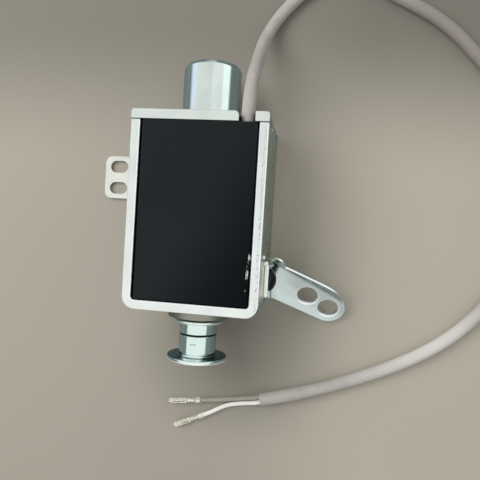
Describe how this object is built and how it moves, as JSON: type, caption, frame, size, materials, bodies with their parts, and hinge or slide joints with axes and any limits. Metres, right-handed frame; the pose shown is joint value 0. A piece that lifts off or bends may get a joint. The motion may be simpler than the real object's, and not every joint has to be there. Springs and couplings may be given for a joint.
{
  "type": "push pull solenoid",
  "caption": "Open-frame push pull solenoid with a flanged push end, a slotted mounting ear, a pitched arm with holes and a cable with crimped leads.",
  "frame": {"origin": "on the flat back, under the plunger's axis, half-way between the web's outer face and the end plate's outer face", "axes": "+X towards the arm, +Y along the plunger's axis to its free end, +Z from the back to the front face, up as it lies"},
  "size_m": [0.2059, 0.2249, 0.044],
  "materials": {
    "zinc": "bright zinc plating",
    "ear_steel": "satin zinc plating",
    "block": "glossy cast resin",
    "bobbin": "moulded",
    "copper": "enamelled",
    "brass": "drawn",
    "steel": "turned",
    "nickel": "turned and plated",
    "rubber": "matte",
    "black_oxide": "black oxide",
    "screw_steel": "zinc plating",
    "jacket": "satin grey",
    "grey_wire": "satin",
    "white_wire": "satin",
    "tin": "tinned"
  },
  "bodies": {
    "housing": {"u_frame": "zinc", "end_plate": "zinc", "coil_block": "block", "bobbin": "bobbin", "winding": "copper", "guide_tube": "brass", "fixed_core": "steel", "core_retainer": "nickel", "rod_bush": "brass", "seat_washer": "brass", "stop_cushion": "rubber", "arm_bracket": "zinc", "arm_screw": "black_oxide", "locating_pin": "zinc", "ear_bracket": "ear_steel", "foot_screws": "screw_steel", "cable": "jacket", "lead_grey": "grey_wire", "lead_white": "white_wire", "terminal_grey": "tin", "terminal_white": "tin"},
    "plunger_set": {"plunger": "nickel", "push_rod": "steel", "stop_collar": "nickel", "push_head": "nickel", "head_pin": "nickel"}
  },
  "joints": [
    {"name": "plunger_slide", "type": "slide", "parent": "housing", "child": "plunger_set", "axis": [0, -1, 0], "range_m": [0, 0.008]}
  ]
}
